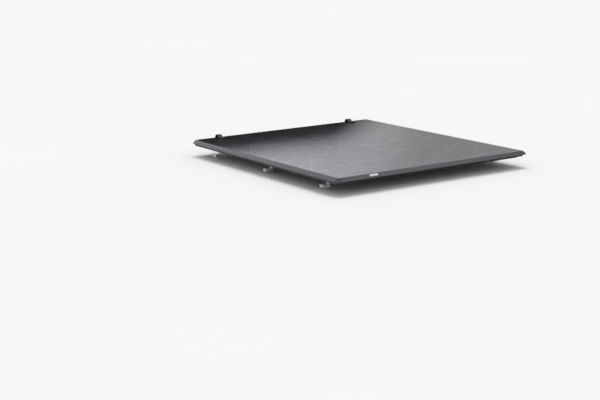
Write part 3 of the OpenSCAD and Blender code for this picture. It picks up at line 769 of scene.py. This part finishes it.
def add_stitch(points, faces, place, ahead, out):
    """One stitch: a short thread that dips into the sheet at both ends."""
    side = ahead.cross(out)
    sides = STITCH_SIDES
    base = len(points)
    for along, lift, swell in STITCH_RINGS:
        centre = place + ahead * (along * STITCH_LEN) + out * (lift * STITCH_R)
        for k in range(sides):
            angle = 2 * math.pi * k / sides
            across = math.cos(angle) * swell * STITCH_R * STITCH_FLAT
            points.append(centre + side * across + out * (math.sin(angle) * swell * STITCH_R))
    last = base + (len(STITCH_RINGS) - 1) * sides
    for ring in range(base, last, sides):
        for k in range(sides):
            a = ring + k
            b = ring + (k + 1) % sides
            faces.append((a, a + sides, b + sides, b))
    faces.append(tuple(base + k for k in range(sides)))
    faces.append(tuple(last + k for k in reversed(range(sides))))


def stitch_object(name, places):
    points, faces = [], []
    for place, ahead, out in places:
        add_stitch(points, faces, place, ahead, out)
    obj = new_object(name, mesh_from(name, points, faces), thread)
    return shade(obj, SMOOTH["stitches"])


def stitch_line(start, stop, out):
    """Places of stitches along a straight line."""
    ahead = (stop - start).normalized()
    count = max(1, round((stop - start).length / STITCH_PITCH))
    return [(start.lerp(stop, (n + 0.5) / count), ahead, out) for n in range(count)]


def on_slope(run, drop, up_from_edge):
    """A place on a hem's face, as (outward, up) from the crease, and the face's own outward direction."""
    slant = math.hypot(run, drop)
    share = 1 - up_from_edge / slant
    out = (drop / slant, run / slant)
    return run * share + out[0] * HEM_PROUD, -drop * share + out[1] * HEM_PROUD, out


def side_stitches(start, stop):
    outward, up, out = on_slope(HEM_RUN, HEM_DROP, STITCH_UP)
    first = math.ceil(min(start, stop) / STITCH_PITCH)
    last = math.floor(max(start, stop) / STITCH_PITCH)
    places = []
    for side in (-1, 1):
        for n in range(first, last):
            y = (n + 0.5) * STITCH_PITCH
            place = Vector((side * (crease_x + outward), y, top_z + up))
            places.append((place, AHEAD, Vector((side * out[0], 0, out[1]))))
    return places


def rear_stitches():
    outward, up, out = on_slope(REAR_RUN, HEM_DROP, STITCH_UP)
    reach = crease_x - REAR_CORNER_R
    count = int(2 * reach / STITCH_PITCH)
    places = []
    for n in range(count):
        x = (n + 0.5 - count / 2) * STITCH_PITCH
        place = Vector((x, rear_crease_y - outward, top_z + up))
        places.append((place, RIGHT, Vector((0, -out[0], out[1]))))
    return places


# The sheet

def make_cover():
    count = len(folds)

    first_cut = folds[0] + strip_len / 2
    front = front_sheet("cover_front", first_cut)
    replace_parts(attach(front, "front_header"), "front_cover")
    sewn = stitch_object("cover_front_stitches", side_stitches(first_cut, front_y - 2 * STITCH_PITCH))
    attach(sewn, "front_header")

    rear_cut = rear_bar_y - REAR_CUT_SHARE * (rear_bar_y - rear_crease_y)
    for i, joint in enumerate(fold_joints):
        last = i == count - 1
        start = folds[i] + strip_len / 2
        stop = rear_cut if last else folds[i] - strip_len / 2
        piece = strip_sheet(f"cover_fold_{i + 1:02d}", start, stop)
        sewn = stitch_object(f"cover_fold_{i + 1:02d}_stitches", side_stitches(start, stop))
        for part in (piece, sewn):
            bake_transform(part)
        if not last:
            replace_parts(piece, f"cover_strip_{i + 1:02d}")

    rear = rear_sheet("cover_rear", rear_cut)
    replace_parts(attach(rear, "rear_bar"), "rear_cover")
    places = side_stitches(rear_cut, rear_crease_y + REAR_CORNER_R) + rear_stitches()
    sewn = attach(stitch_object("cover_rear_stitches", places), "rear_bar")


# Straps, buckles and tag

def curve_through(knots, steps):
    """A smooth line through the knots."""
    line = []
    for i in range(len(knots) - 1):
        a, b = Vector(knots[max(i - 1, 0)]), Vector(knots[i])
        c, d = Vector(knots[i + 1]), Vector(knots[min(i + 2, len(knots) - 1)])
        for k in range(steps):
            t = k / steps
            line.append(0.5 * (2 * b + (c - a) * t + (2 * a - 5 * b + 4 * c - d) * t ** 2
                               + (3 * b - a - 3 * c + d) * t ** 3))
    line.append(Vector(knots[-1]))
    return line


def make_strap(side):
    """A storage strap: up the front of the header, over in a loop and back through its buckle."""
    line = curve_through(STRAP_LINE, STRAP_STEPS)
    points, uvs, faces = [], [], []
    walked = 0.0
    for i, place in enumerate(line):
        walked += (place - line[i - 1]).length if i else 0.0
        for column in range(STRAP_COLUMNS + 1):
            across = STRAP_W * (column / STRAP_COLUMNS - 0.5)
            points.append((side * STRAP_X + across, place.x, place.y))
            uvs.append((across, walked))
    width = STRAP_COLUMNS + 1
    for i in range(len(line) - 1):
        for column in range(STRAP_COLUMNS):
            a = i * width + column
            faces.append((a, a + 1, a + width + 1, a + width))
    name = "left" if side < 0 else "right"
    strap = new_object(f"{name}_strap", mesh_from(f"{name}_strap", points, faces, uvs), webbing)
    thicken(strap, STRAP_T, offset=0.0)
    soften(strap, STRAP_T * STRAP_EDGE_SHARE)
    shade(strap, SMOOTH["strap"])
    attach(strap, "front_header")
    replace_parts(strap, "storage_straps")
    return strap, walked


def strap_stitches(side):
    """A box with a cross in it, where the strap's foot is sewn to the front of the sheet."""
    y = STRAP_LINE[0][0] + STRAP_T / 2
    corners = []
    for across, z in ((-1, SEWN_LOW), (1, SEWN_LOW), (1, SEWN_HIGH), (-1, SEWN_HIGH)):
        corners.append(Vector((side * STRAP_X + across * SEWN_W / 2, y, z)))
    a, b, c, d = corners
    places = []
    for start, stop in ((a, b), (b, c), (c, d), (d, a), (a, c), (b, d)):
        places += stitch_line(start, stop, AHEAD)
    return places


def add_box(bm, centre, size, radius, tilt=0.0):
    """A box with rounded edges, tilted about X."""
    made = bmesh.ops.create_cube(bm, size=1.0)["verts"]
    place = Matrix.Translation(centre) @ Matrix.Rotation(tilt, 4, "X") @ Matrix.Diagonal((*size, 1))
    bmesh.ops.transform(bm, matrix=place, verts=made)
    edges = {e for v in made for e in v.link_edges}
    bmesh.ops.bevel(bm, geom=list(edges), offset=radius, segments=3, profile=0.5, affect="EDGES")


def add_bar(bm, bar, width, radius, tilt=0.0):
    """One of the buckle's bars, across its width."""
    y, up, length, thickness = bar
    add_box(bm, (0, y, top_z + up), (width, length, thickness), radius, math.radians(tilt))


def make_buckle(side):
    """A ladder buckle: two cheeks, two bars and a ribbed lever."""
    bm = bmesh.new()
    inner = BUCKLE_W - CHEEK_W
    for edge in (-1, 1):
        add_box(bm, (edge * inner / 2, 0, top_z + CHEEK_UP), (CHEEK_W, BUCKLE_LEN, CHEEK_H), BUCKLE_R)
    add_bar(bm, FRONT_BAR, inner, BUCKLE_R)
    add_bar(bm, MIDDLE_BAR, inner, BUCKLE_R)
    add_bar(bm, LEVER, inner, LEVER_R, LEVER_TILT)
    for rib in range(RIB_COUNT):
        y = RIB_Y - rib * RIB_PITCH
        up = RIB_UP + RIB_RISE * (LEVER[0] - y)
        add_bar(bm, (y, up, RIB_T, RIB_T), inner * RIB_W_SHARE, RIB_R)
    bmesh.ops.translate(bm, vec=(side * STRAP_X, BUCKLE_Y, 0), verts=bm.verts)
    name = "left_buckle" if side < 0 else "right_buckle"
    buckle = shade(object_from(name, bm, nylon), SMOOTH["buckle"])
    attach(buckle, "front_header")
    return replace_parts(buckle, "strap_buckles")


def make_straps():
    for side in (-1, 1):
        strap, length = make_strap(side)
        sewn = stitch_object(f"{strap.name}_stitches", strap_stitches(side))
        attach(sewn, "front_header")
        make_buckle(side)


def make_tag():
    """A plain blank tag on the rear band."""
    slant = math.hypot(REAR_RUN, HEM_DROP)
    down = Vector((0, -REAR_RUN, -HEM_DROP)) / slant
    out = Vector((0, -HEM_DROP, REAR_RUN)) / slant
    crease = Vector((TAG_X, rear_crease_y, top_z))
    middle = crease + down * (TAG_DOWN + TAG_H / 2) + out * (HEM_PROUD + TAG_T / 2)
    bm = bmesh.new()
    bmesh.ops.create_cube(bm, size=1.0)
    turn = Matrix((RIGHT, down, out)).transposed().to_4x4()
    bmesh.ops.transform(bm, matrix=turn @ Matrix.Diagonal((TAG_W, TAG_H, TAG_T, 1)), verts=bm.verts)
    bmesh.ops.translate(bm, vec=middle, verts=bm.verts)
    bmesh.ops.recalc_face_normals(bm, faces=bm.faces)
    tag = object_from("blank_tag", bm, pale_label())
    soften(tag, TAG_T * TAG_EDGE_SHARE)
    shade(tag, SMOOTH["tag"])
    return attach(tag, "rear_bar")


# Bolts and screws

def solid_boxes(node):
    """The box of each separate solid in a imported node, from low X and Y up."""
    bm = bmesh.new()
    bm.from_mesh(frame["nodes"][node].data)
    bmesh.ops.remove_doubles(bm, verts=bm.verts, dist=SAME_POINT)
    left, boxes = set(bm.verts), []
    for seed in bm.verts:
        if seed not in left:
            continue
        left.discard(seed)
        found, at = [seed], 0
        while at < len(found):
            for edge in found[at].link_edges:
                other = edge.other_vert(found[at])
                if other in left:
                    left.discard(other)
                    found.append(other)
            at += 1
        low = Vector([min(v.co[i] for v in found) for i in range(3)])
        high = Vector([max(v.co[i] for v in found) for i in range(3)])
        boxes.append((low, high))
    bm.free()
    return sorted(boxes, key=lambda box: tuple(round(c, 5) for c in box[0]))


def add_ring(bm, centre, axis, radii):
    """A closed loop of points round an axis, the first towards +X."""
    other = axis.cross(RIGHT)
    ring = []
    for k, radius in enumerate(radii):
        angle = 2 * math.pi * k / len(radii)
        ring.append(bm.verts.new(centre + (RIGHT * math.cos(angle) + other * math.sin(angle)) * radius))
    return ring


def add_lathe(bm, base, axis, rings):
    """A closed turned form from rings of (distance along, radii)."""
    loops = [add_ring(bm, base + axis * along, axis, radii) for along, radii in rings]
    bm.faces.new(list(reversed(loops[0])))
    for near, far in zip(loops, loops[1:]):
        for k in range(len(near)):
            n = (k + 1) % len(near)
            bm.faces.new((near[k], near[n], far[n], far[k]))
    bm.faces.new(loops[-1])


def round_radii(radius):
    return [radius] * HEAD_SIDES


def six_sided(radius):
    """Radii of a hexagon whose corners lie at this radius."""
    sixth = math.pi / 3
    flat = radius * math.cos(sixth / 2)
    turns = [2 * math.pi * k / HEAD_SIDES for k in range(HEAD_SIDES)]
    return [flat / math.cos(turn % sixth - sixth / 2) for turn in turns]


def add_hex_head(bm, base, axis, radius, height):
    """A hexagon head with its corners turned off at the top."""
    rings = [(height * up, round_radii(radius * share)) for up, share in HEX_FOOT]
    rings += [(height * up, six_sided(radius)) for up in HEX_FACES]
    rings.append((height, [min(r, radius * HEX_TOP_SHARE) for r in six_sided(radius)]))
    add_lathe(bm, base, axis, rings)


def add_socket_head(bm, base, axis, radius, height):
    """A domed head with a six-sided socket."""
    rings = [(height * up, round_radii(radius * share)) for up, share in SOCKET_DOME]
    rings += [(height * up, six_sided(radius * share)) for up, share in SOCKET_HOLE]
    add_lathe(bm, base, axis, rings)


def add_thread(bm, start, axis, radius, length):
    """A threaded rod, with one ridge wound round it and both ends turned down."""
    other = axis.cross(RIGHT)
    root = radius - THREAD_DEPTH
    blunt = THREAD_PITCH / 2
    profile = ((0.0, root), (0.35, radius), (0.5, radius), (0.85, root))
    turns = math.ceil(length / THREAD_PITCH) + 1
    rows = []
    for turn in range(-1, turns):
        for share, reach in profile:
            row = []
            for k in range(THREAD_SIDES):
                along = (turn + share + k / THREAD_SIDES) * THREAD_PITCH
                inside = blunt < along < length - blunt
                angle = 2 * math.pi * k / THREAD_SIDES
                out = (RIGHT * math.cos(angle) + other * math.sin(angle)) * (reach if inside else root)
                row.append(bm.verts.new(start + axis * min(max(along, 0.0), length) + out))
            rows.append(row)
    made = [v for row in rows for v in row]
    step = len(profile)
    for i in range(len(rows) - 1):
        for k in range(THREAD_SIDES - 1):
            bm.faces.new((rows[i][k], rows[i][k + 1], rows[i + 1][k + 1], rows[i + 1][k]))
        if i + step + 1 < len(rows):
            last = THREAD_SIDES - 1
            bm.faces.new((rows[i][last], rows[i + step][0], rows[i + step + 1][0], rows[i + 1][last]))
    bmesh.ops.remove_doubles(bm, verts=made, dist=SAME_THREAD_POINT)
    open_edges = [e for e in bm.edges if e.is_boundary]
    bmesh.ops.holes_fill(bm, edges=open_edges, sides=0)


def hardware_piece(name, bm, body, node):
    bmesh.ops.recalc_face_normals(bm, faces=bm.faces)
    piece = shade(object_from(name, bm, zinc), SMOOTH["hardware"])
    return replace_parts(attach(piece, body), node)


def make_screws():
    for node, axis, body in (("header_screws", -UP, "front_header"), ("rear_screws", AHEAD, "rear_bar")):
        bm = bmesh.new()
        for low, high in solid_boxes(node):
            length = abs((high - low).dot(axis))
            under_head = (low + high) / 2 + axis * (length / 2 - SCREW_HEAD_H)
            add_socket_head(bm, under_head, axis, (high.x - low.x) / 2, SCREW_HEAD_H)
            add_thread(bm, under_head, -axis, SCREW_D / 2, length - SCREW_HEAD_H)
        hardware_piece(f"{node}_threaded", bm, body, node)


def make_bolts():
    bm = bmesh.new()
    for low, high in solid_boxes("clamp_bolts"):
        middle = (low + high) / 2
        under_head = Vector((middle.x, middle.y, high.z - CLAMP_HEAD_H))
        add_hex_head(bm, under_head, UP, (high.x - low.x) / 2, CLAMP_HEAD_H)
        add_thread(bm, under_head, -UP, CLAMP_BOLT_D / 2, under_head.z - low.z)
    hardware_piece("clamp_bolts_threaded", bm, "side_rails", "clamp_bolts")
    for side in ("left", "right"):
        low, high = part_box(f"{side}_tension_screw")
        middle = (low + high) / 2
        bm = bmesh.new()
        start = Vector((middle.x, low.y, middle.z))
        add_thread(bm, start, AHEAD, (high.x - low.x) / 2, high.y - low.y - TIP_GAP)
        hardware_piece(f"{side}_tension_thread", bm, f"{side}_tension", f"{side}_tension_screw")


# Studio

def make_camera():
    yaw, pitch, roll = (math.radians(a) for a in (CAMERA_YAW, CAMERA_PITCH, CAMERA_ROLL))
    ahead = Vector((math.sin(yaw) * math.cos(pitch), math.cos(yaw) * math.cos(pitch), -math.sin(pitch)))
    level = Vector((math.cos(yaw), -math.sin(yaw), 0))
    upright = level.cross(ahead)
    right = level * math.cos(roll) + upright * math.sin(roll)
    up = upright * math.cos(roll) - level * math.sin(roll)
    data = bpy.data.cameras.new("camera")
    data.sensor_fit = "HORIZONTAL"
    data.sensor_width = SENSOR_W
    data.lens = FOCAL_PX / IMAGE_W * data.sensor_width
    data.clip_end = CLIP_END
    camera = bpy.data.objects.new("camera", data)
    scene.collection.objects.link(camera)
    turn = Matrix((right, up, -ahead)).transposed().to_4x4()
    camera.matrix_world = Matrix.Translation(CAMERA_AT) @ turn
    scene.camera = camera


def plane_object(name, corners, material):
    obj = new_object(name, mesh_from(name, corners, [(0, 1, 2, 3)]), material)
    return obj


def make_floor():
    g = Graph("floor", 0.9)
    cloud = g.noise(g.place(), 0.4, 3.0)
    paper = g.finish(g.colours(cloud, (0.88, 0.88, 0.88), (0.91, 0.91, 0.91)))
    g.shader.inputs["Specular IOR Level"].default_value = 0.0
    z = cad_box[0].z - FLOOR_GAP
    corners = [(x * FLOOR_REACH, y * FLOOR_REACH, z) for x, y in ((-1, -1), (1, -1), (1, 1), (-1, 1))]
    plane_object("floor", corners, paper)


def sheen_card(name, material, corners):
    """A card that only the sheen of the object sees."""
    card = plane_object(name, corners, material)
    card.visible_camera = False
    card.visible_diffuse = False
    card.visible_shadow = False


def card_graph(name, low, high):
    g = Graph(name, 1.0)
    g.finish(g.colours(g.noise(g.place(), 1.0), (low, low, low), (high, high, high)))
    g.shader.inputs["Emission Color"].default_value = SHEEN_COLOUR
    return g


def upright(y, x_range, z_range):
    """Corners of a card that faces along Y."""
    (left, right), (low, high) = x_range, z_range
    return [(left, y, low), (right, y, low), (right, y, high), (left, y, high)]


def make_dark_card():
    """Darkens the front of the top from just ahead of its edge, and fades out to the right and up."""
    g = card_graph("dark_card", 0.004, 0.008)
    x, _, z = g.split(g.place())[:3]
    across = g.math("ADD", x, g.math("MULTIPLY", z, DARK_SLANT))
    fade = g.math("MULTIPLY", g.ramp(across, *DARK_FADE_X, 1, 0), g.ramp(z, *DARK_FADE_Z, 1, 0))
    g.feed(g.shader.inputs["Alpha"], fade)
    corners = upright(DARK_Y, (DARK_LEFT, DARK_FADE_X[1]), (0, DARK_FADE_Z[1]))
    sheen_card("dark_card", g.material, corners)


def make_bright_card():
    """Lights up the left of the top from beyond the front edge and dims to the right."""
    g = card_graph("bright_card", 0.80, 0.85)
    x, _, z = g.split(g.place())[:3]
    across = g.ramp(x, *BRIGHT_FADE_X, BRIGHT_GLOW, 0)
    glow = g.math("MULTIPLY", across, g.ramp(z, *BRIGHT_FADE_Z, BRIGHT_LOW_SHARE, 1))
    g.feed(g.shader.inputs["Emission Strength"], glow)
    sheen_card("bright_card", g.material, upright(FAR_Y, BRIGHT_X, BRIGHT_Z))


def make_side_card():
    """Lights up the hem on the left."""
    g = card_graph("side_card", 0.80, 0.85)
    g.shader.inputs["Emission Strength"].default_value = SIDE_GLOW
    sheen_card("side_card", g.material, upright(FAR_Y, SIDE_X, SIDE_Z))


def make_rear_card():
    """Lights up the rear band from behind, and fades into the studio's own light at its rim."""
    aim = Vector(REAR_AIM).normalized()
    middle = Vector((0, rear_y, top_z)) + aim * REAR_AWAY
    across = Vector((-aim.y, aim.x, 0)).normalized() * REAR_HALF
    up = aim.cross(across)
    g = card_graph("rear_card", 0.0, 0.0)
    glow = g.ramp(g.away(g.place(), middle), *REAR_FADE, REAR_GLOW, SHEEN_LIGHT)
    g.feed(g.shader.inputs["Emission Strength"], glow)
    corners = [middle - across - up, middle + across - up, middle + across + up, middle - across + up]
    sheen_card("rear_card", g.material, corners)


def make_world():
    world = bpy.data.worlds.new("studio")
    scene.world = world
    world.use_nodes = True
    tree = world.node_tree
    tree.nodes.clear()
    rays = tree.nodes.new("ShaderNodeLightPath")
    seen = rays.outputs["Is Camera Ray"]
    for kind in ("Is Glossy Ray", "Is Transmission Ray"):
        both = tree.nodes.new("ShaderNodeMath")
        both.operation = "MAXIMUM"
        tree.links.new(seen, both.inputs[0])
        tree.links.new(rays.outputs[kind], both.inputs[1])
        seen = both.outputs["Value"]
    shown = tree.nodes.new("ShaderNodeBackground")
    shown.inputs["Color"].default_value = SHEEN_COLOUR
    shown.inputs["Strength"].default_value = SHEEN_LIGHT
    light = tree.nodes.new("ShaderNodeBackground")
    light.inputs["Color"].default_value = (1.0, 1.0, 1.0, 1)
    light.inputs["Strength"].default_value = WORLD_LIGHT
    mix = tree.nodes.new("ShaderNodeMixShader")
    out = tree.nodes.new("ShaderNodeOutputWorld")
    tree.links.new(seen, mix.inputs["Fac"])
    tree.links.new(light.outputs["Background"], mix.inputs[1])
    tree.links.new(shown.outputs["Background"], mix.inputs[2])
    tree.links.new(mix.outputs["Shader"], out.inputs["Surface"])


def make_sun():
    data = bpy.data.lights.new("key", "SUN")
    data.energy = SUN_ENERGY
    data.angle = math.radians(SUN_ANGLE)
    lamp = bpy.data.objects.new("key", data)
    scene.collection.objects.link(lamp)
    lamp.rotation_euler = Vector(SUN_AIM).to_track_quat("-Z", "Y").to_euler()


make_camera()
make_floor()
make_dark_card()
make_bright_card()
make_side_card()
make_rear_card()
make_world()
make_sun()
dress_nodes()
make_cover()
make_straps()
make_tag()
make_bolts()
make_screws()
